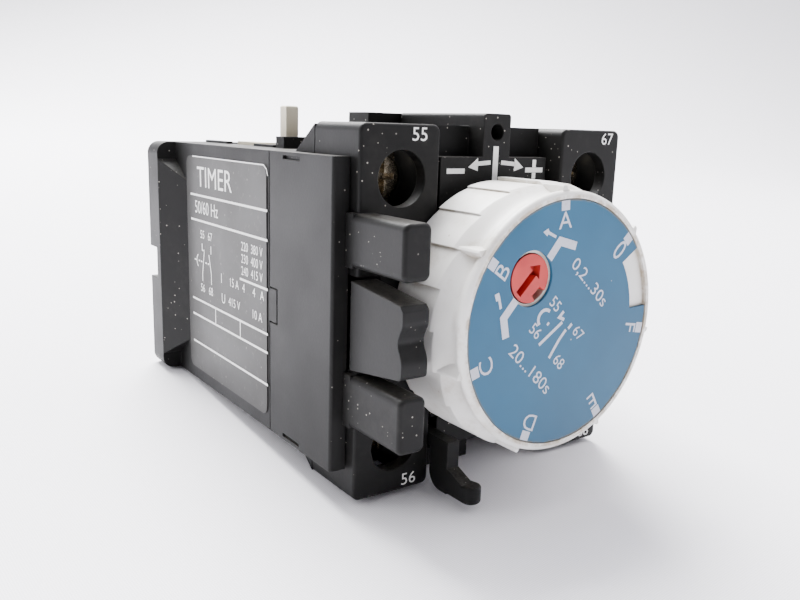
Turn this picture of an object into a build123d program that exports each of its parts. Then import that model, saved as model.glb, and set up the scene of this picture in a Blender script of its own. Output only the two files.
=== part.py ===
"""Front-mounted pneumatic timer block: a housing with four screw terminals, a timing knob and the mechanism inside.

Millimetres. X to the right, Y from the front of the block to the back, Z up. The origin is the middle of the
mounting face, which lies on Y = 0. A place along Y is given below as a depth behind the terminals' front plane.
"""

from build123d import *
import math
import os

# Outside of the block
body_depth = 60.0
row_width = 45.0
row_height = 47.6
shell_half_width = 25.0
shell_half_height = 19.8
flange_half_width = 28.2
flange_depth = 55.0
seam_depth = 18.9
wall = 2.0
seam_gap = 0.2

# Terminals
block_depth = 10.7
block_inner = 10.7
terminal_x = 16.4
terminal_z = 17.2
driver_hole_radius = 3.5
chamber_half_width = 4.0
chamber_low = 12.6
chamber_high = 22.0
chamber_front = 1.8
screw_radius = 1.75
thread_clearance = 0.06
screw_rear = 12.8
strap_depth = 9.0
strap_thickness = 1.0
clamp_depth = 6.9
clamp_thickness = 1.2

# Front plate, its raised panel and its post
plate_depth = 4.0
plate_thickness = 2.0
panel_half_width = 9.3
post_half_width = 2.34
post_depth = 1.6
post_top = 25.5
post_rear = 20.8

# Knob, dial and range selector
knob_front = -12.8
knob_back = -0.4
knob_radius = 17.4
lip_radius = 16.5
dial_radius = 15.5
dial_front = -12.7
dial_thickness = 0.4
division = 360 / 7
zero_angle = 42.9
facets_per_division = 3
main_step = 0.45
short_step = 0.24
valley_radius = 16.1
selector_x = -6.0
selector_z = 6.15
selector_radius = 3.0
shaft_radius = 2.0
running_clearance = 0.06
stop_lug_angle = 24.2
stop_lug_radii = (8.8, 10.4)
stop_lug_offset = 72.85

# Bellows and contacts
base_rear = 13.2
bellows_front = 13.25
bellows_rear = 24.95
bellows_radius = 11.4
bellows_fold = 2.2
bellows_wall = 0.7
contact_x = 15.4
contact_z = 6.4
contact_gap = 0.05
carrier_half_width = 2.5
carrier_half_height = 3.0
trip_depth = 38.0
trip_z = -12.0

# Actuator
actuator_x = -16.0
actuator_half_width = 1.3
actuator_low = 12.6
actuator_high = 17.2
pin_depth = 29.6
pin_top = 26.0

# Release lever on the left side
lever_x = -20.4
lever_z = -0.5
lever_depth = 22.0
guard_outer = -23.3
guard_inner = -19.5
guard_front = -10.7
slot_low = -6.5
slot_high = 5.5

# Bottom latch
latch_low_x = -10.4
latch_high_x = -8.5
latch_depth = 30.0
latch_z = -15.5
latch_floor = -24.1
latch_foot_top = -21.7
latch_heel = 2.3
latch_toe_depth = -7.1
latch_toe_radius = 1.4

os.makedirs("parts", exist_ok=True)


def at_depth(depth):
    """Plane across the block at a depth, with X and Z as its own axes and its normal towards the front."""
    return Plane.XZ.offset(body_depth - depth)


def middle(pair):
    return (pair[0] + pair[1]) / 2


def block(x, depth, z, mode=Mode.ADD):
    """Box between two limits along X, depth and Z, in the part being built."""
    with Locations((middle(x), middle(depth) - body_depth, middle(z))):
        return Box(abs(x[1] - x[0]), abs(depth[1] - depth[0]), abs(z[1] - z[0]), mode=mode)


def rod(x, z, depth, radius, mode=Mode.ADD):
    """Cylinder along Y between two depths."""
    with Locations(Location((x, middle(depth) - body_depth, z), (90, 0, 0))):
        return Cylinder(radius, abs(depth[1] - depth[0]), mode=mode)


def cross_rod(x, depth, z, radius, mode=Mode.ADD):
    """Cylinder along X between two places."""
    with Locations(Location((middle(x), depth - body_depth, z), (0, 90, 0))):
        return Cylinder(radius, abs(x[1] - x[0]), mode=mode)


def upright_rod(x, depth, z, radius, mode=Mode.ADD):
    """Cylinder along Z between two heights."""
    with Locations((x, depth - body_depth, middle(z))):
        return Cylinder(radius, abs(z[1] - z[0]), mode=mode)


def polar(radius, degrees):
    return (radius * math.cos(math.radians(degrees)), radius * math.sin(math.radians(degrees)))


def ring_sector(inner, outer, start, end):
    """Flat face between two radii and two angles, as a private sketch."""
    with BuildSketch(mode=Mode.PRIVATE) as sector:
        with BuildLine():
            CenterArc((0, 0), outer, start, end - start)
            Line(polar(outer, end), polar(inner, end))
            CenterArc((0, 0), inner, start, end - start)
            Line(polar(inner, start), polar(outer, start))
        make_face()
    return sector.sketch


def coil(start, direction, length, radius, wire, turns):
    """Helical spring that fills its length from the start point along a direction."""
    origin = Vector(*start) + Vector(*direction) * (wire / 2)
    with BuildPart() as spring:
        with BuildLine() as path:
            Helix((length - wire) / turns, length - wire, radius, center=origin, direction=direction)
        with BuildSketch(Plane(origin=path.line @ 0, z_dir=path.line % 0)):
            Circle(wire / 2)
        sweep(is_frenet=True)
    return spring.part


def save(part, name):
    part.label = name
    export_step(part, f"parts/{name}.step")


# Terminal blocks: a pair of towers on each side, with a chamber behind each driver hole. The left block carries
# the two finger guards and leaves a slot for the release lever between them.
for side, block_name in ((-1, "terminal_block_left"), (1, "terminal_block_right")):
    outer_x = side * row_width / 2
    inner_x = side * block_inner
    with BuildPart() as terminal_block:
        with BuildSketch(at_depth(block_depth)):
            with Locations((middle((outer_x, inner_x)), 0)):
                RectangleRounded(abs(outer_x - inner_x), row_height, 1.0)
        extrude(amount=block_depth)
        front_edges = terminal_block.faces().sort_by(Axis.Y)[0].edges()
        fillet(front_edges, 0.4)
        chamber_x = (side * terminal_x - chamber_half_width, side * terminal_x + chamber_half_width)
        for end in (-1, 1):
            block(chamber_x, (chamber_front, block_depth), (end * chamber_low, end * chamber_high), Mode.SUBTRACT)
            rod(side * terminal_x, end * terminal_z, (0, chamber_front), driver_hole_radius, Mode.SUBTRACT)
            block(chamber_x, (4.8, 9.6), (end * chamber_high, end * row_height / 2), Mode.SUBTRACT)
        block((side * 12.4, side * 18.4), (2.2, block_depth), (-9.6, 9.6), Mode.SUBTRACT)
        if side < 0:
            block((outer_x, -19.2), (0, block_depth), (slot_low, slot_high), Mode.SUBTRACT)
            for low, high in ((6.6, 13.2), (-13.6, -6.8)):
                with BuildSketch(at_depth(0.2)):
                    with Locations((middle((guard_outer, guard_inner)), middle((low, high)))):
                        RectangleRounded(guard_inner - guard_outer, high - low, 0.9)
                extrude(amount=0.2 - guard_front)
                block((guard_outer, outer_x), (0, post_depth), (low, high))
            tips = terminal_block.faces().filter_by(Axis.Y).group_by(Axis.Y)[0].edges()
            fillet(tips, 0.5)
    save(terminal_block.part, block_name)


# Front plate between the terminal blocks, with the raised post, the shaft boss and the knob's fixed stop.
plate_rear = plate_depth + plate_thickness
plate_half_width = block_inner - 0.1
with BuildPart() as front_plate:
    block((-plate_half_width, plate_half_width), (plate_depth, plate_rear), (-shell_half_height, shell_half_height))
    block((-panel_half_width, panel_half_width), (post_depth, plate_rear), (-shell_half_height, shell_half_height))
    block((-panel_half_width + wall, panel_half_width - wall), (3.4, plate_rear), (-17.8, 17.8), Mode.SUBTRACT)
    block((-plate_half_width, plate_half_width), (4.7, 6.6), (shell_half_height, row_height / 2))
    block((-plate_half_width, 0), (4.7, 6.6), (-row_height / 2, -shell_half_height))
    with BuildSketch(at_depth(post_rear)) as post_section:
        with Locations((0, middle((shell_half_height, post_top)))):
            Rectangle(2 * post_half_width, post_top - shell_half_height)
        fillet(post_section.vertices().group_by(Axis.Y)[-1], 0.5)
    extrude(amount=post_rear - post_depth)
    rod(0, 23.1, (post_depth, 6.6), 1.1, Mode.SUBTRACT)
    rod(0, 0, (1.0, 8.0), 5.0)
    rod(0, 0, (0.9, 8.1), shaft_radius + running_clearance, Mode.SUBTRACT)
    rod(0, 0, (1.0, 2.2), 3.2, Mode.SUBTRACT)
    with BuildSketch(at_depth(post_depth)):
        add(ring_sector(*stop_lug_radii, -90 - stop_lug_angle / 2, -90 + stop_lug_angle / 2))
    extrude(amount=post_depth + 3.8)
    block((latch_low_x - 0.1, latch_high_x + 0.3), (post_depth, plate_rear), (-19.1, -15.2), Mode.SUBTRACT)
save(front_plate.part, "front_plate")

with BuildPart() as seal_ring:
    with BuildSketch(at_depth(2.2)):
        Circle(3.15)
        Circle(shaft_radius + running_clearance, mode=Mode.SUBTRACT)
    extrude(amount=1.0)
    fillet(seal_ring.edges().group_by(Axis.Y)[0], 0.25)
save(seal_ring.part, "seal_ring")


# Middle housing: a ring around the mechanism, with the webs that brace the terminal towers.
with BuildPart() as middle_housing:
    block((-22.5, 22.5), (10.9, seam_depth - seam_gap), (-shell_half_height, shell_half_height))
    block((-20.5, 20.5), (10.9, seam_depth), (wall - shell_half_height, shell_half_height - wall), Mode.SUBTRACT)
    for side in (-1, 1):
        for end in (-1, 1):
            with BuildSketch(Plane.YZ.offset(side * 21.75)):
                Polygon(
                    (10.9 - body_depth, end * (shell_half_height - 0.2)),
                    (10.9 - body_depth, end * 23.5),
                    (16.4 - body_depth, end * (shell_half_height - 0.2)),
                    align=None,
                )
            extrude(amount=0.75, both=True)
    for end in (-1, 1):
        cross_rod((-22.5, -20.5), 14.8, end * 14.5, 1.25, Mode.SUBTRACT)
        for side in (-1, 1):
            rod(side * terminal_x, end * terminal_z, (10.9, screw_rear + 0.6), screw_radius + 0.4, Mode.SUBTRACT)
    block((-22.5, -20.5), (10.9, seam_depth), (lever_z - 3.4, lever_z + 3.4), Mode.SUBTRACT)
save(middle_housing.part, "middle_housing")


# Side cover over the release lever, held by two pegs and by the tab of the rear housing.
with BuildPart() as side_cover:
    block((-shell_half_width, -22.7), (1.8, seam_depth - seam_gap), (-shell_half_height, shell_half_height))
    fillet(side_cover.edges().filter_by(Axis.Z).group_by(Axis.Y)[0].sort_by(Axis.X)[0], 0.4)
    block((-shell_half_width, -22.7), (16.4, seam_depth), (-3.8, 1.3), Mode.SUBTRACT)
    for end in (-1, 1):
        block((-shell_half_width, -24.6), (10.1, 14.8), (end * 19.35, end * 18.85), Mode.SUBTRACT)
        cross_rod((-22.7, -20.9), 14.8, end * 14.5, 1.2)
save(side_cover.part, "side_cover")


# Rear housing: an open-fronted shell with the label wall, the flanges, and the seats of the inner pieces.
with BuildPart() as rear_housing:
    block((-shell_half_width, shell_half_width), (seam_depth, flange_depth), (-shell_half_height, shell_half_height))
    with BuildSketch(at_depth(body_depth)):
        RectangleRounded(2 * flange_half_width, 2 * shell_half_height, 2.0)
    extrude(amount=body_depth - flange_depth)
    block((-22.5, 22.5), (seam_depth, 57.0), (wall - shell_half_height, shell_half_height - wall), Mode.SUBTRACT)
    for side in (-1, 1):
        # wedge between the wall and the flange, with its ends sloping down towards the front
        with BuildSketch(Plane.XY.offset(-17.0)):
            Polygon(
                (side * shell_half_width, 50.0 - body_depth),
                (side * shell_half_width, flange_depth - body_depth),
                (side * flange_half_width, flange_depth - body_depth),
                align=None,
            )
        extrude(amount=34.0)
        for end in (-1, 1):
            with BuildSketch(Plane.YZ.offset(side * shell_half_width)):
                Polygon(
                    (49.0 - body_depth, end * 12.92),
                    (flange_depth - body_depth, end * 17.0),
                    (49.0 - body_depth, end * 18.0),
                    align=None,
                )
            extrude(amount=side * 4.0, mode=Mode.SUBTRACT)
        notch_x = (side * flange_half_width, side * 26.2)
        block(notch_x, (56.7, body_depth), (-3.7, 1.7), Mode.SUBTRACT)
    # tab that holds the side cover
    block((-shell_half_width, -22.9), (16.7, seam_depth), (-3.6, 1.1))
    # stop behind the post, and the stop and rails beside the actuator's slot
    block((-8.0, 8.0), (21.0, 26.5), (shell_half_height, post_top - 0.1))
    block((-18.9, -11.5), (26.6, 29.2), (shell_half_height, 21.5))
    for rail in ((30.2, 37.0), (47.4, 56.8)):
        block((-18.9, -17.9), rail, (shell_half_height, 20.2))
    block((-17.6, -14.4), (29.3, 52.7), (15.0, 20.3), Mode.SUBTRACT)
    # windows of the actuator, the release hook and the bottom latch in the mounting face
    block((-18.8, -13.2), (56.9, body_depth), (12.4, 17.4), Mode.SUBTRACT)
    block((-23.4, -17.0), (56.9, body_depth), (-3.8, 2.8), Mode.SUBTRACT)
    block((-11.0, -7.9), (56.9, body_depth), (-17.8, -11.4), Mode.SUBTRACT)
    # ears of the release lever's pin
    for low, high in ((3.1, 6.1), (-7.1, -4.1)):
        block((-22.5, -18.5), (20.0, 24.0), (low, high))
        upright_rod(lever_x, lever_depth, (low, high), 1.02, Mode.SUBTRACT)
    # ears of the latch's pin
    for low, high in ((-11.9, -10.7), (-8.2, -7.0)):
        block((low, high), (28.3, 31.7), (-17.8, -13.7))
        cross_rod((low, high), latch_depth, latch_z, 0.92, Mode.SUBTRACT)
    # ears of the trip lever's pin
    for low, high in ((-5.8, -4.8), (4.8, 6.3)):
        block((low, high), (36.2, 39.8), (-17.8, -9.8))
        cross_rod((low, high), trip_depth, trip_z, 1.02, Mode.SUBTRACT)
    # seats of the actuator's spring and of the release lever's spring
    block((-22.5, -14.0), (46.0, 47.6), (7.6, 12.2))
    block((-15.2, -13.8), (48.2, 51.8), (-17.8, 2.6))
save(rear_housing.part, "rear_housing")

with BuildPart() as rating_label:
    with BuildSketch(Plane.YZ.offset(-shell_half_width)):
        with Locations((middle((19.5, 49.6)) - body_depth, 0)):
            RectangleRounded(30.1, 35.6, 1.4)
    extrude(amount=-0.15)
save(rating_label.part, "rating_label")


# Knob: twenty-one grip lines, where the radius drops by a step. A smooth valley runs round behind the lip and cuts
# the short lines off. Seven pointed ribs carry the main lines over it.
facet_angle = division / facets_per_division
with BuildPart() as knob:
    with BuildSketch(at_depth(knob_back)):
        with BuildLine():
            for facet in range(7 * facets_per_division):
                start = zero_angle + facet * facet_angle
                end = start + facet_angle
                low = knob_radius - (short_step if facet % facets_per_division else main_step)
                next_step = short_step if (facet + 1) % facets_per_division else main_step
                crest = middle((low, knob_radius)) + 0.03
                ThreePointArc(polar(low, start), polar(crest, middle((start, end))), polar(knob_radius, end))
                Line(polar(knob_radius, end), polar(knob_radius - next_step, end))
        make_face()
    extrude(amount=knob_back - knob_front)
    with BuildSketch(Plane.XY):
        with BuildLine():
            front_y = knob_front - body_depth
            back_y = knob_back - body_depth
            Polyline((0, front_y), (0, back_y), (knob_radius + 0.3, back_y), (knob_radius + 0.3, front_y + 6.4))
            Spline(
                (knob_radius + 0.3, front_y + 6.4),
                (valley_radius + 0.12, front_y + 2.6),
                (valley_radius + 0.02, front_y + 1.8),
                (lip_radius, front_y + 0.9),
                tangents=((0, -1), (0.5, -1)),
            )
            ThreePointArc((lip_radius, front_y + 0.9), (lip_radius - 0.02, front_y + 0.3), (lip_radius - 0.4, front_y))
            Line((lip_radius - 0.4, front_y), (0, front_y))
        make_face()
    revolve(axis=Axis.Y, mode=Mode.INTERSECT)
    for tick in range(7):
        angle = zero_angle + tick * division
        with BuildSketch(at_depth(knob_front + 5.0)):
            with BuildLine():
                Polyline(
                    polar(knob_radius - 1.6, angle - 6.0),
                    polar(knob_radius - 0.25, angle - 1.2),
                    polar(knob_radius - 0.25, angle),
                    polar(knob_radius - 1.6, angle + 1.2),
                    close=True,
                )
            make_face()
        extrude(amount=4.6)
    # seat of the dial, hollow back, hub, selector boss and stop lug
    rod(0, 0, (knob_front, dial_front + dial_thickness + 0.05), dial_radius + 0.1, Mode.SUBTRACT)
    rod(0, 0, (knob_front + 2.6, knob_back), knob_radius - 2.7, Mode.SUBTRACT)
    rod(0, 0, (knob_front + 2.6, -0.6), 4.6)
    rod(selector_x, selector_z, (knob_front + 2.6, -6.6), 4.4)
    lug_centre = -90 - stop_lug_offset
    with BuildSketch(at_depth(-0.8)):
        add(ring_sector(*stop_lug_radii, lug_centre - stop_lug_angle / 2, lug_centre + stop_lug_angle / 2))
    extrude(amount=-0.8 - (knob_front + 2.6))
    rod(0, 0, (-9.4, 0), shaft_radius, Mode.SUBTRACT)
    rod(selector_x, selector_z, (knob_front, -10.6), selector_radius + 0.1, Mode.SUBTRACT)
    rod(selector_x, selector_z, (-10.6, -6.5), 1.5 + running_clearance, Mode.SUBTRACT)
save(knob.part, "knob")

# Dial: a thin blue disc with a hole for the selector and a cut-out between the last mark and zero.
with BuildPart() as dial_disc:
    with BuildSketch(at_depth(dial_front + dial_thickness)):
        Circle(dial_radius)
        with Locations((selector_x, selector_z)):
            Circle(selector_radius + 0.45, mode=Mode.SUBTRACT)
        add(ring_sector(12.4, dial_radius + 0.3, 3.0, 34.5), mode=Mode.SUBTRACT)
    extrude(amount=dial_thickness)
save(dial_disc.part, "dial_disc")

# Range selector: a red button with an arrow slot, which carries its cam behind the knob's face.
with BuildPart() as range_selector:
    rod(selector_x, selector_z, (knob_front + 0.35, -10.7), selector_radius)
    rod(selector_x, selector_z, (-10.7, -4.4), 1.5)
    with BuildSketch(at_depth(knob_front + 1.5)):
        with Locations(Location((selector_x, selector_z), 45)):
            with Locations((-0.7, 0)):
                Rectangle(3.6, 0.96)
            Polygon((0.9, 1.2), (2.2, 0), (0.9, -1.2), align=None)
    extrude(amount=1.2, mode=Mode.SUBTRACT)
    with BuildSketch(at_depth(-10.7)):
        with Locations((selector_x, selector_z)):
            Polygon((0.5, -2.15), (1.65, -1.15), (3.0, -2.0), (1.2, -3.3), align=None)
    extrude(amount=2.2, mode=Mode.SUBTRACT)
save(range_selector.part, "range_selector")

with BuildPart() as range_cam:
    with BuildSketch(at_depth(-4.6)):
        with Locations((selector_x, selector_z)):
            Circle(2.6)
        with Locations((selector_x - 1.6, selector_z)):
            Circle(2.2)
        with Locations((selector_x, selector_z)):
            Circle(1.52, mode=Mode.SUBTRACT)
    extrude(amount=1.6)
save(range_cam.part, "range_cam")

with BuildPart() as knob_shaft:
    rod(0, 0, (-9.4, 9.9), shaft_radius)
    fillet(knob_shaft.edges().group_by(Axis.Y)[-1], 0.3)
save(knob_shaft.part, "knob_shaft")

with BuildPart() as shaft_clip:
    with BuildSketch(at_depth(8.5)):
        Circle(3.4)
        Circle(shaft_radius + 0.01, mode=Mode.SUBTRACT)
        with Locations((0, -3.0)):
            Rectangle(1.6, 3.4, mode=Mode.SUBTRACT)
    extrude(amount=0.35)
save(shaft_clip.part, "shaft_clip")

with BuildPart() as throttle_disc:
    with BuildSketch(at_depth(9.9)):
        Circle(9.0)
        Circle(shaft_radius + 0.01, mode=Mode.SUBTRACT)
        add(ring_sector(6.2, 7.2, 20, 250), mode=Mode.SUBTRACT)
    extrude(amount=1.2)
save(throttle_disc.part, "throttle_disc")


# Timing base: the fixed air plate, hung between the top and bottom walls, with a felt filter in its rim.
with BuildPart() as timing_base:
    rod(0, 0, (10.9, base_rear), 12.2)
    block((-4.0, 4.0), (11.0, base_rear), (wall - shell_half_height, shell_half_height - wall))
    with BuildSketch(at_depth(11.9)):
        Circle(11.2)
        Circle(9.6, mode=Mode.SUBTRACT)
    extrude(amount=1.0, mode=Mode.SUBTRACT)
    rod(6.7, 0, (10.9, base_rear), 0.6, Mode.SUBTRACT)
save(timing_base.part, "timing_base")

with BuildPart() as filter_ring:
    with BuildSketch(at_depth(11.85)):
        Circle(11.1)
        Circle(9.7, mode=Mode.SUBTRACT)
    extrude(amount=0.8)
save(filter_ring.part, "filter_ring")

# Bellows: a folded rubber wall between the air plate and the moving plate.
fold_count = 4
fold_pitch = (bellows_rear - bellows_front) / (2 * fold_count)
with BuildPart() as bellows:
    with BuildSketch(Plane.XY):
        with BuildLine():
            outer_wall = []
            inner_wall = []
            for fold in range(2 * fold_count + 1):
                radius = bellows_radius if fold % 2 else bellows_radius - bellows_fold
                y = bellows_front + fold * fold_pitch - body_depth
                outer_wall.append((radius, y))
                inner_wall.append((radius - bellows_wall, y))
            Polyline(outer_wall + inner_wall[::-1], close=True)
        make_face()
    revolve(axis=Axis.Y)
save(bellows.part, "bellows")

save(coil((0, bellows_front - body_depth, 0), (0, 1, 0), bellows_rear - bellows_front, 6.0, 0.8, 5), "bellows_spring")

with BuildPart() as bellows_plate:
    rod(0, 0, (25.0, 26.4), 9.0)
    rod(0, 0, (26.4, 35.2), 2.0)
    chamfer(bellows_plate.edges().group_by(Axis.Y)[-1], 0.7, 1.0)
save(bellows_plate.part, "bellows_plate")


# Actuator: the slide that the contactor pulls back, with its pin and rib above the slot and its yoke.
actuator_span = (actuator_x - actuator_half_width, actuator_x + actuator_half_width)
with BuildPart() as actuator:
    block(actuator_span, (27.0, 56.5), (actuator_low, actuator_high))
    block((actuator_x - 1.0, actuator_x + 1.0), (pin_depth, pin_depth + 2.0), (actuator_high, pin_top))
    fillet(actuator.edges().group_by(Axis.Z)[-1], 0.3)
    block(actuator_span, (37.9, 46.7), (actuator_high, 20.3))
    block(actuator_span, (27.0, 29.0), (4.0, actuator_low))
    block((actuator_span[0], 3.5), (27.0, 29.0), (4.0, 7.0))
    for low, high in ((-3.5, -2.3), (2.3, 3.5)):
        block((low, high), (27.0, 29.0), (-3.0, 4.0))
    block(actuator_span, (33.0, 34.6), (7.8, actuator_low))
save(actuator.part, "actuator")

save(coil((actuator_x, 34.7 - body_depth, 10.0), (0, 1, 0), 11.2, 1.8, 0.6, 5), "return_spring")


# Trip lever on its pin: the bellows stem tips it, and it pushes the contact carrier.
with BuildPart() as trip_lever:
    cross_rod((-4.4, 4.4), trip_depth, trip_z, 2.4)
    block((-3.0, 3.0), (36.4, trip_depth), (trip_z, 2.0))
    cross_rod((-4.4, 4.4), trip_depth, trip_z, 1.0 + running_clearance, Mode.SUBTRACT)
save(trip_lever.part, "trip_lever")

with BuildPart() as trip_pin:
    cross_rod((-5.8, 6.3), trip_depth, trip_z, 1.0)
save(trip_pin.part, "trip_pin")


# Contact carrier: two side bars with windows for the bridges, joined by a low bar behind the trip lever.
with BuildPart() as contact_carrier:
    for side, window in ((-1, (17.5, 24.4)), (1, (11.6, 17.2))):
        bar_x = (side * contact_x - carrier_half_width, side * contact_x + carrier_half_width)
        block(bar_x, (min(window) - 1.2, 41.0), (-carrier_half_height, carrier_half_height))
        block(bar_x, (38.6, 41.0), (-9.2, -carrier_half_height))
        block((side * contact_x - 1.7, side * contact_x + 1.7), window, (-3.0, 3.0), Mode.SUBTRACT)
    block((-contact_x, contact_x), (38.6, 41.0), (-9.2, -7.2))
save(contact_carrier.part, "contact_carrier")

# Bridges: the closing one faces back, the opening one faces front. Each has a silver tip at both ends.
fixed_tip_depths = {-1: 17.0, 1: 20.0}
for side, bridge_name in ((-1, "bridge_opening"), (1, "bridge_closing")):
    plate = (17.65, 18.25) if side < 0 else (16.45, 17.05)
    tip = (17.0 + contact_gap, 17.65) if side < 0 else (17.05, 17.65)
    with BuildPart() as bridge:
        block((side * contact_x - 1.5, side * contact_x + 1.5), plate, (-8.4, 8.4))
        for end in (-1, 1):
            rod(side * contact_x, end * contact_z, tip, 1.2)
    save(bridge.part, bridge_name)

with BuildPart() as contact_springs:
    add(coil((-contact_x, 18.3 - body_depth, 0), (0, 1, 0), 6.05, 1.2, 0.4, 4))
    add(coil((contact_x, 11.65 - body_depth, 0), (0, 1, 0), 4.75, 1.2, 0.4, 4))
save(contact_springs.part, "contact_springs")


# Terminal straps: each runs from under its screw, back past the bridge and in to its contact tip.
terminals = ((55, -1, 1), (56, -1, -1), (67, 1, 1), (68, 1, -1))
for number, side, end in terminals:
    leg_rear = 16.4 if side < 0 else 21.6
    tip = (16.4, 17.0) if side < 0 else (20.0, 20.6)
    strap_span = (side * terminal_x - 3.4, side * terminal_x + 3.4)
    with BuildPart() as strap:
        block(strap_span, (strap_depth, strap_depth + strap_thickness), (end * 12.8, end * 20.9))
        block((side * contact_x - 1.8, side * contact_x + 1.8), (strap_depth, leg_rear), (end * 12.8, end * 13.8))
        block((side * contact_x - 1.8, side * contact_x + 1.8), (leg_rear - 1.0, leg_rear), (end * 5.0, end * 12.8))
        rod(side * contact_x, end * contact_z, tip, 1.2)
        rod(
            side * terminal_x, end * terminal_z, (strap_depth, strap_depth + strap_thickness),
            screw_radius + thread_clearance, Mode.SUBTRACT,
        )
    save(strap.part, f"contact_strap_{number}")

# Terminal screws and their square clamp washers.
for number, side, end in terminals:
    x = side * terminal_x
    z = end * terminal_z
    with BuildPart() as screw:
        rod(x, z, (clamp_depth - 2.3, clamp_depth - 0.1), 3.0)
        fillet(screw.edges().group_by(Axis.Y)[0], 0.5)
        rod(x, z, (clamp_depth - 0.1, screw_rear), screw_radius)
        chamfer(screw.edges().group_by(Axis.Y)[-1], 0.4)
        block((x - 0.45, x + 0.45), (clamp_depth - 2.3, clamp_depth - 1.1), (z - 3.0, z + 3.0), Mode.SUBTRACT)
        block((x - 1.9, x + 1.9), (clamp_depth - 2.3, clamp_depth - 1.1), (z - 0.4, z + 0.4), Mode.SUBTRACT)
    save(screw.part, f"terminal_screw_{number}")
    with BuildPart() as clamp:
        block((x - 3.5, x + 3.5), (clamp_depth, clamp_depth + clamp_thickness), (z - 3.5, z + 3.5))
        fillet(clamp.edges().filter_by(Axis.Y), 0.6)
        for end_x in (-1, 1):
            block((x + end_x * 3.5, x + end_x * 2.7), (clamp_depth, clamp_depth + 1.6), (z - 2.6, z + 2.6))
        rod(x, z, (clamp_depth, clamp_depth + clamp_thickness), screw_radius + thread_clearance, Mode.SUBTRACT)
    save(clamp.part, f"clamp_washer_{number}")


# Release lever: a paddle between the guards, a thin arm through the block, and a hook at the mounting face.
with BuildPart() as release_lever:
    with BuildSketch(Plane.YZ.offset(guard_outer + 0.1)):
        with BuildLine():
            tip_y = guard_front - body_depth
            root_y = 0.3 - body_depth
            Polyline((tip_y, 3.4), (tip_y + 0.6, 4.0), (root_y, 5.1), (root_y, -6.1), (tip_y + 0.7, -4.6))
            ThreePointArc((tip_y + 0.7, -4.6), (tip_y + 0.2, -4.4), (tip_y, -3.9))
            Spline(
                (tip_y, -3.9), (tip_y + 0.1, -2.2), (tip_y + 0.85, -0.3), (tip_y + 0.1, 1.6), (tip_y, 3.4),
                tangents=((0, 1), (0, 1)),
            )
        make_face()
    extrude(amount=guard_inner - guard_outer - 0.2)
    block((-21.2, -19.8), (0.2, 57.6), (lever_z - 3.0, lever_z + 3.0))
    upright_rod(lever_x, lever_depth, (lever_z - 3.0, lever_z + 3.0), 1.9)
    block((-22.6, -19.8), (57.6, 59.4), (lever_z - 2.4, lever_z + 2.4))
    upright_rod(lever_x, lever_depth, (lever_z - 3.0, lever_z + 3.0), 1.0 + running_clearance, Mode.SUBTRACT)
save(release_lever.part, "release_lever")

with BuildPart() as lever_pin:
    upright_rod(lever_x, lever_depth, (-7.1, 6.1), 1.0)
save(lever_pin.part, "lever_pin")

save(coil((-15.25, 50.0 - body_depth, lever_z), (-1, 0, 0), 4.5, 1.6, 0.5, 4), "lever_spring")


# Bottom latch: a rocker with a rounded foot in front, its pin, and the leaf that holds it down in front.
with BuildPart() as latch_rocker:
    toe_x = latch_low_x + latch_toe_radius
    toe_y = latch_toe_depth - body_depth
    stem_front = -3.8
    with BuildSketch(Plane.XY.offset(latch_floor)):
        with BuildLine():
            Line((latch_low_x, -body_depth), (latch_low_x, toe_y))
            ThreePointArc((latch_low_x, toe_y), (toe_x, toe_y - latch_toe_radius), (toe_x + latch_toe_radius, toe_y))
            Polyline(
                (toe_x + latch_toe_radius, toe_y),
                (latch_high_x, stem_front - 0.4 - body_depth),
                (latch_high_x, -body_depth),
                (latch_low_x, -body_depth),
            )
        make_face()
    extrude(amount=latch_foot_top - latch_floor)
    fillet(latch_rocker.faces().filter_by(Axis.Z).edges(), 0.4)
    block((latch_low_x, latch_high_x), (stem_front, 0), (latch_floor, -16.9))
    heel_edge = latch_rocker.edges().filter_by(Axis.X).group_by(Axis.Z)[0].sort_by(Axis.Y)[-1]
    fillet(heel_edge, latch_heel)
    with BuildSketch(Plane.YZ.offset(latch_low_x)):
        Polygon(
            (stem_front - body_depth, latch_foot_top - 0.4),
            (stem_front - body_depth, -20.5),
            (-6.9 - body_depth, latch_foot_top),
            (-6.9 - body_depth, latch_foot_top - 0.4),
            align=None,
        )
    extrude(amount=latch_high_x - latch_low_x)
    with BuildSketch(Plane.YZ.offset(latch_low_x)):
        Polygon(
            (-1.0 - body_depth, -18.5),
            (8.6 - body_depth, -18.5),
            (9.4 - body_depth, -16.4),
            (57.0 - body_depth, -16.4),
            (57.0 - body_depth, -12.6),
            (59.5 - body_depth, -12.6),
            (59.5 - body_depth, -11.8),
            (56.0 - body_depth, -11.8),
            (56.0 - body_depth, -14.6),
            (7.4 - body_depth, -14.6),
            (6.6 - body_depth, -16.9),
            (-1.0 - body_depth, -16.9),
            align=None,
        )
    extrude(amount=latch_high_x - latch_low_x)
    cross_rod((latch_low_x, latch_high_x), latch_depth, latch_z, 1.5)
    cross_rod((latch_low_x, latch_high_x), latch_depth, latch_z, 0.9 + running_clearance, Mode.SUBTRACT)
save(latch_rocker.part, "latch_rocker")

with BuildPart() as latch_pin:
    cross_rod((-11.9, -7.0), latch_depth, latch_z, 0.9)
save(latch_pin.part, "latch_pin")

with BuildPart() as latch_leaf:
    with BuildSketch(Plane.YZ.offset(-10.3)):
        Polygon(
            (36.0 - body_depth, -17.75), (42.0 - body_depth, -17.75), (54.0 - body_depth, -16.75),
            (54.0 - body_depth, -16.5), (42.0 - body_depth, -17.5), (36.0 - body_depth, -17.5),
            align=None,
        )
    extrude(amount=1.7)
save(latch_leaf.part, "latch_leaf")
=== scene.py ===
import bmesh
import bpy
import math
from mathutils import Matrix, Vector


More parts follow.
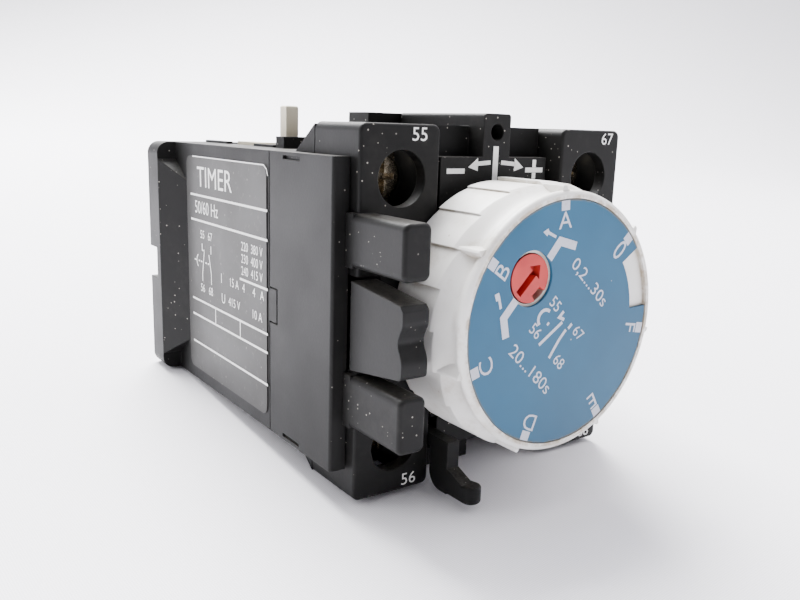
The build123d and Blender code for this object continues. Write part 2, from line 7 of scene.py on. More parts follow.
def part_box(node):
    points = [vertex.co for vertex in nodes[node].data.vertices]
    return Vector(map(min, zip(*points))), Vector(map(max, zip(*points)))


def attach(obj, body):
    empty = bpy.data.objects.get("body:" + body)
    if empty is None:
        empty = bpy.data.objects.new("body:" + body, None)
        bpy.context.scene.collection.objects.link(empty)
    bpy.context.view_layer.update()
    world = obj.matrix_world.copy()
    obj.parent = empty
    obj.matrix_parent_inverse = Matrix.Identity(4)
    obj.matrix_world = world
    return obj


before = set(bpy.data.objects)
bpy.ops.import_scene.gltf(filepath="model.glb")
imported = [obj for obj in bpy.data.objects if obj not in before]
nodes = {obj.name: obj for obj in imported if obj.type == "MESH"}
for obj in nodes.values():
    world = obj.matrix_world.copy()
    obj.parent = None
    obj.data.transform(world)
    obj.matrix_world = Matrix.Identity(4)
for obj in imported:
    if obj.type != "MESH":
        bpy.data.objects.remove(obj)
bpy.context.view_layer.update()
mm = 0.001
samples = 4  # rays that look for edges and grooves, for the worn edges and for the dirt and painted shade in grooves


camera = {
    "place": (-72.92, -140.54, 23.22),  # mm, in the part's frame
    "azimuth": -35.187,
    "elevation": 12.087,
    "roll": 1.8,
    "lens": 36.08,
    "sensor": 36,
    "nearest": 0.005,  # m
    "farthest": 20,
}


def addCamera():
    azimuth = math.radians(camera["azimuth"])
    elevation = math.radians(camera["elevation"])
    level = math.cos(elevation)
    back = Vector((math.sin(azimuth) * level, -math.cos(azimuth) * level, math.sin(elevation)))
    right = (-back).cross(Vector((0, 0, 1))).normalized()
    up = right.cross(-back)
    turn = math.radians(camera["roll"])
    rolledRight = right * math.cos(turn) + up * math.sin(turn)
    rolledUp = up * math.cos(turn) - right * math.sin(turn)
    data = bpy.data.cameras.new("camera")
    data.lens = camera["lens"]
    data.sensor_width = camera["sensor"]
    data.clip_start = camera["nearest"]
    data.clip_end = camera["farthest"]
    cam = bpy.data.objects.new("camera", data)
    bpy.context.collection.objects.link(cam)
    turned = Matrix((rolledRight, rolledUp, back)).transposed().to_4x4()
    cam.matrix_world = Matrix.Translation(Vector(camera["place"]) * mm) @ turned
    bpy.context.scene.camera = cam


addCamera()


class Wire:
    def __init__(self, mat, socket):
        self.mat, self.socket = mat, socket

    def math(self, operation, other=0.0):
        return self.mat.node("ShaderNodeMath", {"operation": operation}, {0: self, 1: other})

    def __add__(self, other):
        return self.math("ADD", other)

    def __sub__(self, other):
        return self.math("SUBTRACT", other)

    def __mul__(self, other):
        return self.math("MULTIPLY", other)

    def __rsub__(self, other):
        return (self * -1.0).math("ADD", other)

    def __pow__(self, other):
        return self.math("POWER", other)

    __radd__ = __add__
    __rmul__ = __mul__

    def above(self, edge):
        return self.math("GREATER_THAN", edge)

    def span(self, low, high, start=0.0, end=1.0):
        limits = {"From Min": low, "From Max": high, "To Min": start, "To Max": end}
        return self.mat.node("ShaderNodeMapRange", {"clamp": True, "interpolation_type": "SMOOTHSTEP"},
                             {"Value": self, **limits})


class Material:
    def __init__(self, name, **fixed):
        self.made = bpy.data.materials.new(name)
        self.made.use_nodes = True
        self.tree = self.made.node_tree
        self.shader = next(n for n in self.tree.nodes if n.type == "BSDF_PRINCIPLED")
        for key, value in fixed.items():
            self.shader.inputs[key.replace("_", " ")].default_value = value
        self.place = self.node("ShaderNodeTexCoord", {}, {}, "Object")

    def node(self, kind, settings, values, out=0):
        made = self.tree.nodes.new(kind)
        for key, value in settings.items():
            setattr(made, key, value)
        for key, value in values.items():
            if isinstance(value, Wire):
                self.tree.links.new(value.socket, made.inputs[key])
            else:
                made.inputs[key].default_value = value
        return Wire(self, made.outputs[out])

    def mix(self, factor, first, second):
        kind = {"data_type": "RGBA", "clamp_factor": True}
        tinted = {key: (*value, 1.0) if isinstance(value, tuple) else value
                  for key, value in ((6, first), (7, second))}
        return self.node("ShaderNodeMix", kind, {0: factor, **tinted}, 2)

    def noise(self, scale, detail=3.0, rough=0.5, place=None):
        values = {"Vector": place or self.place, "Scale": scale, "Detail": detail, "Roughness": rough}
        return self.node("ShaderNodeTexNoise", {}, values)

    def stretched(self, scale, turn=(0, 0, 0)):
        # the place in the piece, turned and scaled, so that a noise there is drawn out one way
        values = {"Vector": self.place, "Rotation": turn, "Scale": scale}
        return self.node("ShaderNodeMapping", {}, values)

    def specks(self, scale, size, rarity):
        # small round dust grains: a cell of the pattern has one when its colour passes the rarity
        cell = {"Vector": self.place, "Scale": scale}
        near = self.node("ShaderNodeTexVoronoi", {}, cell, "Distance")
        tint = self.node("ShaderNodeTexVoronoi", {}, cell, "Color")
        chance = self.node("ShaderNodeSeparateColor", {}, {0: tint})
        return near.span(size, size * 0.6) * chance.above(rarity)

    def band(self, middle, width):
        # 1 on a ring about the knob's axis, fading out within the width
        across = self.node("ShaderNodeSeparateXYZ", {}, {0: self.place}, "X")
        up = self.node("ShaderNodeSeparateXYZ", {}, {0: self.place}, "Z")
        radius = (across * across + up * up) ** 0.5
        return (radius - middle).math("ABSOLUTE").span(width, width * 0.3)

    def lying(self):
        # 1 on faces that look up, where dust settles
        normal = self.node("ShaderNodeTexCoord", {}, {}, "Normal")
        return self.node("ShaderNodeSeparateXYZ", {}, {0: normal}, "Z").span(0.7, 0.98)

    def edges(self, radius):
        # 1 on outside edges and inside corners, 0 on flat faces
        soft = self.node("ShaderNodeBevel", {"samples": samples}, {"Radius": radius})
        true = self.node("ShaderNodeNewGeometry", {}, {}, "Normal")
        dot = {"operation": "DOT_PRODUCT"}
        facing = self.node("ShaderNodeVectorMath", dot, {0: soft, 1: true}, "Value")
        return (1.0 - facing).span(0.01, 0.16)

    def hollow(self, distance):
        # 1 deep in grooves and corners, where shade falls: a mask for painted shade
        rays = {"samples": samples}
        return 1.0 - self.node("ShaderNodeAmbientOcclusion", rays, {"Distance": distance}, "AO")

    def finish(self, colour, rough, bump, strength, depth, rounding=0.0):
        # rounding softens the look of edges by that radius in m
        for key, value in (("Base Color", colour), ("Roughness", rough)):
            if isinstance(value, Wire):
                self.tree.links.new(value.socket, self.shader.inputs[key])
            else:
                self.shader.inputs[key].default_value = value
        values = {"Strength": strength, "Distance": depth, "Height": bump}
        if rounding:
            values["Normal"] = self.node("ShaderNodeBevel", {"samples": samples}, {"Radius": rounding})
        normal = self.node("ShaderNodeBump", {}, values)
        self.tree.links.new(normal.socket, self.shader.inputs["Normal"])
        return self.made


colours = {
    "film": (0.1, 0.095, 0.085),
    "settledDust": (0.16, 0.15, 0.13),
    "blackWorn": (0.07, 0.068, 0.065),
    "dustGrain": (0.5, 0.47, 0.42),
    "knobDark": (0.74, 0.725, 0.69),
    "knobLight": (0.82, 0.81, 0.785),
    "knobRubbed": (0.5, 0.47, 0.4),
    # brown dirt with painted shade, for the knob's grooves
    "knobGrimeAndShade": (0.3, 0.24, 0.15),
    "knobStain": (0.3, 0.22, 0.12),
    "knobGrain": (0.35, 0.3, 0.22),
    "dialDark": (0.02, 0.088, 0.165),
    "dialLight": (0.025, 0.104, 0.19),
    "dialScratch": (0.32, 0.46, 0.56),
    "dialRim": (0.13, 0.12, 0.09),
    "dialGrain": (0.5, 0.52, 0.5),
    "redDark": (0.4, 0.02, 0.02),
    "redLight": (0.5, 0.035, 0.03),
    # darker red, painted shade for the selector's hollows
    "redShade": (0.12, 0.02, 0.015),
    "rubberDark": (0.018, 0.018, 0.018),
    "rubberLight": (0.035, 0.034, 0.032),
    "rubberGrain": (0.3, 0.29, 0.27),
    "feltDark": (0.5, 0.47, 0.4),
    "feltLight": (0.72, 0.7, 0.63),
    "labelDark": (0.016, 0.0155, 0.014),
    "labelLight": (0.024, 0.023, 0.021),
    "labelWorn": (0.2, 0.19, 0.17),
}


def blackMoulding(name, base=0.006, wear=0.5, dust=0.8, sheen=0.45):
    mat = Material(name, Specular_IOR_Level=0.14)
    cloud = mat.noise(60, 4, 0.6)
    grain = mat.noise(2600, 2, 0.6)
    worn = mat.edges(0.00025) * mat.noise(420, 3).span(0.4, 0.68) * wear
    film = mat.noise(140, 5, 0.7).span(0.5, 0.78) * dust
    settled = mat.lying() * mat.noise(1500, 5, 0.75).span(0.2, 0.85)
    sprinkled = mat.specks(1500, 0.2, 0.82) * mat.noise(130, 3).span(0.42, 0.6)
    grains = mat.specks(850, 0.1, 0.9) + mat.specks(1500, 0.14, 0.88) + sprinkled
    grains = grains.math("MINIMUM", 1.0) * dust
    low = tuple(base * k for k in (0.82, 0.82, 0.8))
    high = tuple(base * k for k in (1.25, 1.23, 1.18))
    colour = mat.mix(cloud.span(0.3, 0.7), low, high)
    colour = mat.mix(film * 0.1, colour, colours["film"])
    colour = mat.mix(settled * 0.3, colour, colours["settledDust"])
    colour = mat.mix(worn * 0.5, colour, colours["blackWorn"])
    colour = mat.mix(grains * 0.75, colour, colours["dustGrain"])
    rough = cloud.span(0.25, 0.75, sheen - 0.06, sheen + 0.08) + grains * 0.3 + grain * 0.06
    return mat.finish(colour, rough, grain + mat.noise(500) * 0.6, 0.22, 0.00004, rounding=0.00022)


def knobPlastic():
    mat = Material("knobPlastic")
    cloud = mat.noise(70, 4, 0.6)
    # dirt and painted shade: ambient occlusion darkens deep in the grooves, patchy with noise, towards a
    # brown grime colour
    hollowShade = mat.hollow(0.0016) * mat.noise(260, 4, 0.65).span(0.2, 0.62)
    rubbed = mat.noise(380, 5, 0.7, mat.stretched((1.0, 0.12, 1.0))).span(0.56, 0.8)
    grains = mat.specks(520, 0.1, 0.93)
    colour = mat.mix(cloud.span(0.3, 0.7), colours["knobDark"], colours["knobLight"])
    colour = mat.mix(rubbed * 0.22, colour, colours["knobRubbed"])
    colour = mat.mix(hollowShade.span(0.1, 0.55) * 0.8, colour, colours["knobGrimeAndShade"])
    stain = mat.band(0.0157, 0.0005) * mat.noise(330, 4, 0.7).span(0.38, 0.62)
    smear = mat.band(0.0167, 0.0009) * mat.noise(170, 5, 0.7).span(0.48, 0.66)
    colour = mat.mix(stain * 0.75 + smear * 0.35, colour, colours["knobStain"])
    colour = mat.mix(grains * 0.5, colour, colours["knobGrain"])
    rough = cloud.span(0.25, 0.75, 0.36, 0.5) + rubbed * 0.1
    return mat.finish(colour, rough, mat.noise(1500, 3) + rubbed, 0.15, 0.00003, rounding=0.0002)


def dialBlue():
    mat = Material("dialBlue", Specular_IOR_Level=0.18)
    cloud = mat.noise(90, 3)
    drawn = mat.stretched((1.0, 1.0, 0.03), (0, 0.5, 0))
    scratch = mat.noise(1500, 4, 0.75, drawn).span(0.66, 0.74)
    grains = mat.specks(600, 0.09, 0.95)
    colour = mat.mix(cloud.span(0.3, 0.7), colours["dialDark"], colours["dialLight"])
    colour = mat.mix(scratch * 0.18, colour, colours["dialScratch"])
    rim = mat.band(0.01552, 0.0003) * mat.noise(300, 4, 0.7).span(0.3, 0.6)
    colour = mat.mix(rim * 0.8, colour, colours["dialRim"])
    colour = mat.mix(grains * 0.6, colour, colours["dialGrain"])
    rough = cloud.span(0.3, 0.7, 0.32, 0.42) + scratch * 0.15
    return mat.finish(colour, rough, scratch, 0.1, 0.00002)


def selectorRed():
    mat = Material("selectorRed", Specular_IOR_Level=0.3)
    cloud = mat.noise(220, 4)
    # painted shade: ambient occlusion darkens the red deep in hollows
    hollowShade = mat.hollow(0.0008) * 0.9
    colour = mat.mix(cloud.span(0.35, 0.7), colours["redDark"], colours["redLight"])
    colour = mat.mix(hollowShade.span(0.2, 0.9) * 0.7, colour, colours["redShade"])
    return mat.finish(colour, cloud.span(0.3, 0.7, 0.3, 0.45), cloud, 0.15, 0.00004, rounding=0.0001)


def beigePlastic(name, low, high, rough=0.5):
    mat = Material(name)
    cloud = mat.noise(150, 4, 0.6)
    # painted shade: ambient occlusion, patchy with noise, darkens hollows; with the dark grains it goes
    # towards a darker copy of the base colour
    hollowShade = mat.hollow(0.0012) * mat.noise(400, 4).span(0.3, 0.7)
    grains = mat.specks(700, 0.1, 0.92)
    colour = mat.mix(cloud.span(0.3, 0.7), low, high)
    colour = mat.mix(hollowShade * 0.6 + grains * 0.4, colour, tuple(0.4 * k for k in low))
    uneven = cloud.span(0.3, 0.7, rough - 0.06, rough + 0.06)
    return mat.finish(colour, uneven, mat.noise(1400), 0.15, 0.00003, rounding=0.00015)


def metal(name, low, high, rough=0.32, tarnish=(0.2, 0.15, 0.09)):
    mat = Material(name, Metallic=1.0)
    cloud = mat.noise(300, 5, 0.7)
    lines = mat.noise(2200, 3, 0.6, mat.stretched((1.0, 0.06, 1.0)))
    dull = cloud.span(0.5, 0.78)
    colour = mat.mix(lines.span(0.3, 0.7), low, high)
    colour = mat.mix(dull * 0.6, colour, tarnish)
    uneven = lines * 0.12 + dull * 0.25 + (rough - 0.06)
    return mat.finish(colour, uneven, lines + cloud * 0.5, 0.2, 0.00003, rounding=0.00008)


def rubberBlack():
    mat = Material("rubberBlack")
    cloud = mat.noise(260, 4, 0.6)
    colour = mat.mix(cloud.span(0.3, 0.7), colours["rubberDark"], colours["rubberLight"])
    colour = mat.mix(mat.specks(900, 0.12, 0.9) * 0.4, colour, colours["rubberGrain"])
    return mat.finish(colour, cloud.span(0.3, 0.7, 0.62, 0.75), mat.noise(1800), 0.25, 0.00004)


def feltWhite():
    mat = Material("feltWhite")
    fibre = mat.noise(2400, 6, 0.8)
    colour = mat.mix(fibre.span(0.35, 0.65), colours["feltDark"], colours["feltLight"])
    return mat.finish(colour, 0.95, fibre, 0.7, 0.0001)


def labelFoil():
    mat = Material("labelFoil", Specular_IOR_Level=0.2)
    cloud = mat.noise(120, 4, 0.6)
    rubbed = mat.noise(900, 5, 0.75).span(0.56, 0.72)
    grains = mat.specks(600, 0.12, 0.9)
    colour = mat.mix(cloud.span(0.3, 0.7), colours["labelDark"], colours["labelLight"])
    colour = mat.mix(rubbed * 0.16 + grains * 0.4, colour, colours["labelWorn"])
    uneven = cloud.span(0.3, 0.7, 0.33, 0.43)
    return mat.finish(colour, uneven, mat.noise(700, 4) + rubbed, 0.14, 0.00004)


def printWhite(name="printWhite", tone=0.8, worn=0.35, tint=(1.0, 1.0, 0.97)):
    mat = Material(name)
    patchy = mat.noise(1700, 4, 0.7).span(0.5, 0.75)
    fresh = tuple(tone * k for k in tint)
    colour = mat.mix(patchy * worn, fresh, tuple(0.45 * k for k in fresh))
    return mat.finish(colour, 0.55, patchy, 0.1, 0.00002)


finishes = {
    "black": blackMoulding("blackMoulding"),
    "cover": blackMoulding("coverMoulding", base=0.008, wear=0.4, dust=0.35),
    "lever": blackMoulding("leverMoulding", base=0.007, wear=0.7, dust=0.3, sheen=0.42),
    "inner": beigePlastic("innerPlastic", (0.06, 0.06, 0.06), (0.1, 0.1, 0.098)),
    "knob": knobPlastic(),
    "blue": dialBlue(),
    "red": selectorRed(),
    "beige": beigePlastic("beigePlastic", (0.52, 0.47, 0.34), (0.62, 0.57, 0.44)),
    "label": labelFoil(),
    "zinc": metal("zincSteel", (0.2, 0.165, 0.11), (0.46, 0.4, 0.3), 0.24, (0.05, 0.035, 0.02)),
    "steel": metal("plainSteel", (0.52, 0.52, 0.51), (0.66, 0.66, 0.65)),
    "brass": metal("plainBrass", (0.58, 0.4, 0.17), (0.76, 0.56, 0.28)),
    "rubber": rubberBlack(),
    "felt": feltWhite(),
    "print": printWhite(),
    "labelPrint": printWhite("labelPrint", tone=0.72, worn=0.5),
    "dialPrint": printWhite("dialPrint", tone=0.5, worn=0.3, tint=(0.97, 1.0, 1.14)),
}
finishOf = {
    "black": ("front_plate", "terminal_block_left", "terminal_block_right", "middle_housing",
              "rear_housing"),
    "cover": ("side_cover",),
    "lever": ("release_lever", "latch_rocker"),
    "inner": ("timing_base", "bellows_plate", "range_cam", "trip_lever", "contact_carrier"),
    "knob": ("knob",),
    "blue": ("dial_disc",),
    "red": ("range_selector",),
    "beige": ("actuator",),
    "label": ("rating_label",),
    "steel": ("bellows_spring", "return_spring", "contact_springs", "lever_spring", "latch_leaf",
              "knob_shaft", "shaft_clip", "trip_pin", "lever_pin", "latch_pin"),
    "brass": ("throttle_disc", "bridge_opening", "bridge_closing"),
    "rubber": ("seal_ring", "bellows"),
    "felt": ("filter_ring",),
}
# each terminal's side, -1 for the left, and its end, 1 for the upper
terminals = {55: (-1, 1), 56: (-1, -1), 67: (1, 1), 68: (1, -1)}


def dress(name, finish):
    mesh = nodes[name].data
    mesh.materials.clear()
    mesh.materials.append(finishes[finish])


for finish, names in finishOf.items():
    for name in names:
        dress(name, finish)
for number in terminals:
    dress(f"contact_strap_{number}", "brass")
    dress(f"terminal_screw_{number}", "zinc")
    dress(f"clamp_washer_{number}", "zinc")
print("materials made")


floorCloth = {
    "colour": (0.9, 0.89, 0.93),
    "size": 2.4,
    "grid": 80,
    "bend": 0.42,  # m behind the part where the floor starts to curve up
    "curve": 0.8,
    "weave": 0.00042,  # m between the threads of the cloth
    "turn": 0.7,
    "rough": 0.9,
}
surroundings = {
    "colour": (0.96, 0.95, 1.0, 1.0),
    "upward": 0.35,
    "nearSide": -0.7,  # where the brightness starts to grow, from the camera's side
    "farSide": 0.6,
    "near": 0.22,  # brightness on the camera's side, and behind the part
    "far": 3.4,
}
aim = (0, -0.03, 0)
lights = {
    "key": {"place": (0.05, 0.35, 0.6), "size": 0.5, "power": 34.0},
    "left": {"place": (-0.5, 0.15, 0.3), "size": 0.35, "power": 1.5},
}


def addFloor():
    # the block leans: it rests on the terminal towers' rear edges and on the flange
    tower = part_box("terminal_block_left")
    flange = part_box("rear_housing")
    front = Vector((0, tower[1].y, tower[0].z))
    rear = Vector((0, flange[1].y, flange[0].z))
    tilt = math.atan2(rear.z - front.z, rear.y - front.y)
    view = math.radians(camera["azimuth"])
    away = Vector((-math.sin(view), math.cos(view)))
    bm = bmesh.new()
    grid = floorCloth["grid"]
    bmesh.ops.create_grid(bm, x_segments=grid, y_segments=grid, size=floorCloth["size"])
    for vert in bm.verts:
        beyond = max(0.0, vert.co.xy.dot(away) - floorCloth["bend"])
        vert.co.z += beyond * beyond * floorCloth["curve"]
    bmesh.ops.rotate(bm, verts=bm.verts, cent=(0, 0, 0), matrix=Matrix.Rotation(tilt, 3, "X"))
    bmesh.ops.translate(bm, verts=bm.verts, vec=front)
    for face in bm.faces:
        face.smooth = True
    mesh = bpy.data.meshes.new("floor")
    bm.to_mesh(mesh)
    bm.free()
    floor = bpy.data.objects.new("floor", mesh)
    bpy.context.collection.objects.link(floor)
    mat = Material("floorCloth")
    turned = mat.stretched((1.0, 1.0, 1.0), (0, 0, floorCloth["turn"]))
    ridges = []
    for axis in "XY":
        along = mat.node("ShaderNodeSeparateXYZ", {}, {0: turned}, axis)
        ridges.append((along * (math.tau / floorCloth["weave"])).math("SINE"))
    threads = ridges[0] * ridges[1]
    dark = tuple(k * 0.88 for k in floorCloth["colour"])
    colour = mat.mix(threads.span(-0.6, 0.6), dark, floorCloth["colour"])
    mesh.materials.append(mat.finish(colour, floorCloth["rough"], threads, 0.2, 0.00004))


def addSurroundings():
    # soft light all round that is bright behind the part and dim on the camera's side
    world = bpy.data.worlds.new("world")
    world.use_nodes = True
    tree = world.node_tree
    ground = tree.nodes["Background"]
    ground.inputs["Color"].default_value = surroundings["colour"]
    place = tree.nodes.new("ShaderNodeTexCoord")
    toward = tree.nodes.new("ShaderNodeVectorMath")
    toward.operation = "DOT_PRODUCT"
    view = math.radians(camera["azimuth"])
    toward.inputs[1].default_value = (-math.sin(view), math.cos(view), surroundings["upward"])
    spread = tree.nodes.new("ShaderNodeMapRange")
    spread.interpolation_type = "SMOOTHSTEP"
    limits = {"From Min": "nearSide", "From Max": "farSide", "To Min": "near", "To Max": "far"}
    for key, value in limits.items():
        spread.inputs[key].default_value = surroundings[value]
    tree.links.new(place.outputs["Generated"], toward.inputs[0])
    tree.links.new(toward.outputs["Value"], spread.inputs["Value"])
    tree.links.new(spread.outputs["Result"], ground.inputs["Strength"])
    bpy.context.scene.world = world


def addLight(name, place, size, power):
    data = bpy.data.lights.new(name, "AREA")
    data.size = size
    data.energy = power
    light = bpy.data.objects.new(name, data)
    bpy.context.collection.objects.link(light)
    light.location = place
    light.rotation_euler = (Vector(aim) - Vector(place)).to_track_quat("-Z", "Y").to_euler()


addFloor()
addSurroundings()
for name, light in lights.items():
    addLight(name, light["place"], light["size"], light["power"])
print("floor and lights placed")


def addPiece(name, bm, finish, body):
    mesh = bpy.data.meshes.new(name)
    bm.to_mesh(mesh)
    bm.free()
    piece = bpy.data.objects.new(name, mesh)
    bpy.context.collection.objects.link(piece)
    mesh.materials.append(finishes[finish])
    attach(piece, body)


def addPath(bm, points, width):
    # flat printed stroke along points, with mitred bends so that no two faces overlap
    sharpest = 0.35
    points = [Vector(point) for point in points]
    sides = []
    for index, point in enumerate(points):
        before = points[max(index - 1, 0)]
        after = points[min(index + 1, len(points) - 1)]
        ways = [(b - a).normalized() for a, b in ((before, point), (point, after)) if a != b]
        along = (ways[0] + ways[-1]).normalized()
        across = Vector((-along.y, along.x))
        reach = width / 2 / max(sharpest, along.dot(ways[0]))
        sides.append([bm.verts.new((*(point + across * reach * turn), 0)) for turn in (-1, 1)])
    for (a, b), (c, d) in zip(sides, sides[1:]):
        bm.faces.new((a, c, d, b))


def addShape(bm, points):
    bm.faces.new([bm.verts.new((*point, 0)) for point in points])


def addText(bm, words, place, size, turn, squeeze):
    curve = bpy.data.curves.new("words", "FONT")
    curve.body = words
    curve.size = size
    curve.align_x = "CENTER"
    curve.align_y = "CENTER"
    curve.resolution_u = 3
    curve.fill_mode = "FRONT"
    shown = bpy.data.objects.new("words", curve)
    bpy.context.collection.objects.link(shown)
    bpy.context.view_layer.update()
    flat = bpy.data.meshes.new_from_object(shown)
    bpy.data.objects.remove(shown)
    turned = Matrix.Rotation(math.radians(turn), 4, "Z") @ Matrix.Diagonal((squeeze, 1, 1, 1))
    flat.transform(Matrix.Translation((*place, 0)) @ turned)
    bm.from_mesh(flat)
    bpy.data.meshes.remove(flat)


def facingFront(depthY):
    # print plane of the block's front: its x to the right, its y up, its normal towards -Y
    return Matrix.Translation((0, depthY, 0)) @ Matrix.Rotation(math.radians(90), 4, "X")


def facingLeft(placeX):
    # print plane of the left side: its x towards the front, its y up, its normal towards -X
    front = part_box("terminal_block_right")[0].y
    upright = Matrix.Rotation(math.radians(90), 4, "X")
    return Matrix.Translation((placeX, front, 0)) @ Matrix.Rotation(math.radians(-90), 4, "Z") @ upright


lift = 0.02  # mm that a print stands off its face


def towerFace():
    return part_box("terminal_block_right")[0].y - lift * mm


def printed(name, matrix, finish, body, bars=(), shapes=(), words=()):
    # one flat piece of print in mm: bars are points and a width, shapes are filled outlines,
    # words are a text, its middle, size, turn in degrees and how wide its letters are drawn
    bm = bmesh.new()
    for points, width in bars:
        addPath(bm, points, width)
    for points in shapes:
        addShape(bm, points)
    for text, place, size, turn, squeeze in words:
        addText(bm, text, place, size, turn, squeeze)
    bmesh.ops.transform(bm, matrix=matrix @ Matrix.Diagonal((mm, mm, mm, 1)), verts=bm.verts)
    bmesh.ops.recalc_face_normals(bm, faces=bm.faces)
    toward = matrix.to_3x3() @ Vector((0, 0, 1))
    bmesh.ops.reverse_faces(bm, faces=[face for face in bm.faces if face.normal.dot(toward) < 0])
    addPiece(name, bm, finish, body)


def ringPoints(centre, radius, start, end, count):
    angles = [math.radians(start + (end - start) * i / count) for i in range(count + 1)]
    return [(centre[0] + radius * math.cos(a), centre[1] + radius * math.sin(a)) for a in angles]


plateMarks = {
    "line": 0.9,
    "arrow": 0.55,
    "sign": 0.65,
    "depth": 1.6,  # mm from the towers' front to the ledge
}


def printPlate():
    # pointer line with an arrow each way, a minus on its left and a plus on its right
    arrow, sign = plateMarks["arrow"], plateMarks["sign"]
    bars = [([(-0.93, 19.12), (-3.2, 18.95)], arrow),
            ([(0.95, 19.12), (3.5, 18.9)], arrow),
            ([(-0.08, 21.25), (-0.08, 15.0)], plateMarks["line"]),
            ([(-8.3, 18.0), (-5.34, 18.0)], sign),
            ([(5.46, 18.1), (8.74, 18.1)], sign),
            ([(7.1, 16.9), (7.1, 17.75)], sign),
            ([(7.1, 18.45), (7.1, 19.5)], sign)]
    shapes = [[(-4.75, 18.5), (-3.1, 18.0), (-3.15, 19.7)],
              [(5.04, 18.45), (3.4, 19.7), (3.35, 17.95)]]
    ledge = towerFace() + plateMarks["depth"] * mm
    printed("print_plate", facingFront(ledge), "print", "base", bars, shapes)


towerMarks = {
    "size": 2.35,
    "left": -13.9,
    "right": 19.85,
    "height": 22.5,
    "squeeze": 1.06,
}


def printTowers():
    for number, (side, end) in terminals.items():
        centre = (towerMarks["left" if side < 0 else "right"], towerMarks["height"] * end)
        words = [(str(number), centre, towerMarks["size"], 0, towerMarks["squeeze"])]
        printed(f"print_tower_{number}", facingFront(towerFace()), "print", "base",
                words=words)


dialMarks = {
    "letters": "0ABCDEF",
    "letterPlace": 12.9,
    "letterSize": 3.0,
    "zeroTall": 1.35,  # the zero is drawn taller than the letters
    "tick": 1.4,
    "tickFrom": 14.2,
    "tickTo": 15.4,
    "zero": 42.9,
    "slant": -43.0,
    "stroke": 0.42,
    "bracket": 1.08,
    "rangeSize": 2.3,
    "contactSize": 2.05,
}


def printDial():
    bars, words = [], []
    for count, letter in enumerate(dialMarks["letters"]):
        angle = dialMarks["zero"] + count * 360 / len(dialMarks["letters"])
        way = Vector((math.cos(math.radians(angle)), math.sin(math.radians(angle))))
        bars.append(([way * dialMarks["tickFrom"], way * dialMarks["tickTo"]], dialMarks["tick"]))
        tall = dialMarks["zeroTall"] if letter == "0" else 1.0
        middle = way * (dialMarks["letterPlace"] - 0.7 * (tall - 1))
        words.append((letter, middle, dialMarks["letterSize"] * tall, angle - 90, 1.1 / tall))
    slant, thin, size = dialMarks["slant"], dialMarks["stroke"], dialMarks["rangeSize"]
    words += [("0,2...30s", (4.2, 4.8), size, slant, 1.18),
              ("20...180s", (-5.25, -5.3), size, slant, 1.16)]
    contacts = (("55", (-1.7, 2.6)), ("56", (-4.85, -0.45)), ("67", (2.75, -1.6)), ("68", (-0.4, -4.95)))
    words += [(text, place, dialMarks["contactSize"], slant, 1.02) for text, place in contacts]
    bars += [([(-0.12, 1.58), (-0.85, 0.9), (0.05, 0.5)], thin),
             ([(-0.25, 0.2), (-4.06, -2.25)], thin),
             ([(1.5, -0.2), (0.9, -0.75)], thin),
             ([(0.5, -0.85), (-0.6, -2.0), (-2.16, -4.19)], thin),
             ([(-2.85, 0.4), (-2.6, 0.15)], thin),
             (ringPoints((-3.3, 0.95), 1.15, 50, 215, 9), thin)]
    bars += [([(-3.3, 8.4), (-1.62, 10.45), (1.22, 9.7)], dialMarks["bracket"]),
             ([(-8.35, 3.75), (-10.15, 1.75), (-9.62, -0.72)], dialMarks["bracket"])]
    shapes = [[(-4.6, 11.7), (-3.9, 11.15), (-3.75, 11.4), (-2.45, 10.85),
               (-2.3, 11.15), (-3.6, 11.75), (-3.8, 12.1)],
              [(-11.75, 4.75), (-11.45, 3.9), (-11.15, 4.0), (-10.85, 2.9),
               (-10.5, 3.05), (-10.85, 4.3), (-11.1, 4.95)]]
    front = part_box("dial_disc")[0].y - lift * mm
    printed("print_dial", facingFront(front), "dialPrint", "knob", bars, shapes, words)


labelMarks = {
    "front": 19.15,  # depths of the label's printed edges, in mm
    "rear": 47.9,
    "line": 0.34,
    "thin": 0.26,
    "size": 1.9,
    "letterSize": 2.2,
}


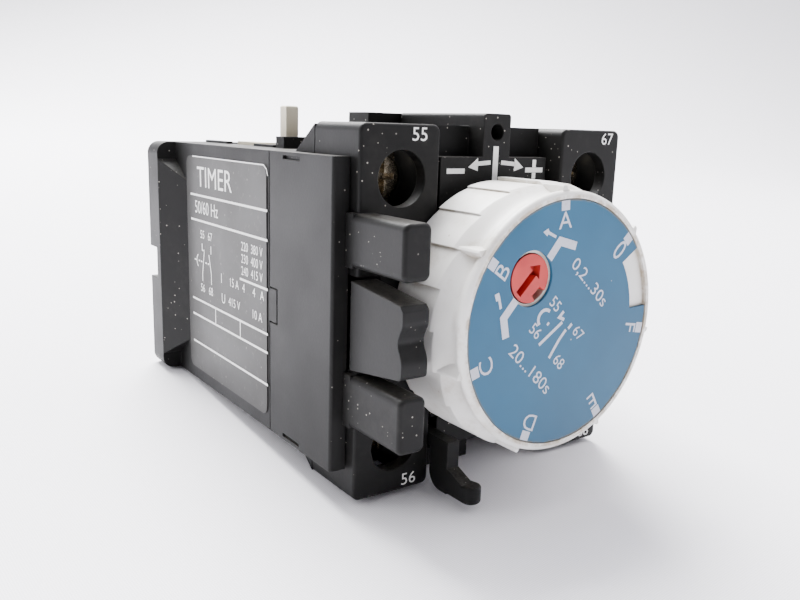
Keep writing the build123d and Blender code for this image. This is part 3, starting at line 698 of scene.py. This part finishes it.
def printLabel():
    # the plane's x grows towards the front, so a depth is turned into x with a minus sign
    front, rear = -labelMarks["front"], -labelMarks["rear"]
    line, thin, size = labelMarks["line"], labelMarks["thin"], labelMarks["size"]
    bars = [([(rear, z), (front, z)], line) for z in (11.67, 7.6, -5.7, -8.4, -13.15)]
    bars += [([(-28.5, 0.72), (front, 0.72)], line),
             ([(rear + 1.2, 17.8), (-20.3, 17.8), (-19.4, 17.3), (-19.0, 16.4)], line * 0.5),
             ([(-38.1, -5.85), (-38.1, -8.3)], line * 0.8),
             ([(-28.55, -5.85), (-28.55, -8.3)], line * 0.8)]
    words = [("TIMER", (-38.0, 14.5), 4.6, 0, 1.1), ("50/60 Hz", (-41.3, 9.65), 2.9, 0, 0.9)]
    for number, x, z in ((55, -43.1, 5.4), (67, -39.9, 5.4), (56, -43.3, -3.4), (68, -39.9, -3.4)):
        words.append((str(number), (x, z), size, 0, 0.95))
    for row, z in (("220  380 V", 5.62), ("230  400 V", 3.8), ("240  415 V", 2.0)):
        words.append((row, (-24.35, z), size, 0, 0.86))
    words += [("I", (-35.5, -0.5), labelMarks["letterSize"], 0, 1.0),
              ("15 A", (-30.7, -0.5), size, 0, 0.95),
              ("4     4   A", (-24.0, -0.55), size, 0, 1.0),
              ("U", (-34.8, -3.6), labelMarks["letterSize"], 0, 1.0),
              ("415 V", (-30.7, -3.6), size, 0, 0.95),
              ("10 A", (-22.7, -3.8), size, 0, 0.95)]
    # the two contacts of the wiring sign, then the dashed line that joins them
    bars += [([(-43.3, 4.0), (-43.3, 2.9), (-42.3, 2.9)], thin),
             ([(-42.35, 3.1), (-43.3, -0.9), (-43.3, -2.2)], thin),
             ([(-39.6, 4.0), (-39.6, 2.7)], thin),
             ([(-40.5, 2.5), (-39.6, -0.5), (-39.6, -2.2)], thin),
             (ringPoints((-44.6, 0.98), 1.1, 118, 242, 7), thin),
             ([(-45.7, 0.98), (-46.7, 0.98)], thin)]
    bars += [([(x, 1.0), (x + 0.55, 1.0)], thin) for x in (-44.9, -43.9, -42.0, -41.0)]
    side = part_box("rating_label")[0].x - lift * mm
    printed("print_label", facingLeft(side), "labelPrint", "base", bars, (), words)


printPlate()
printTowers()
printDial()
printLabel()
print("prints drawn")


print("pieces made")
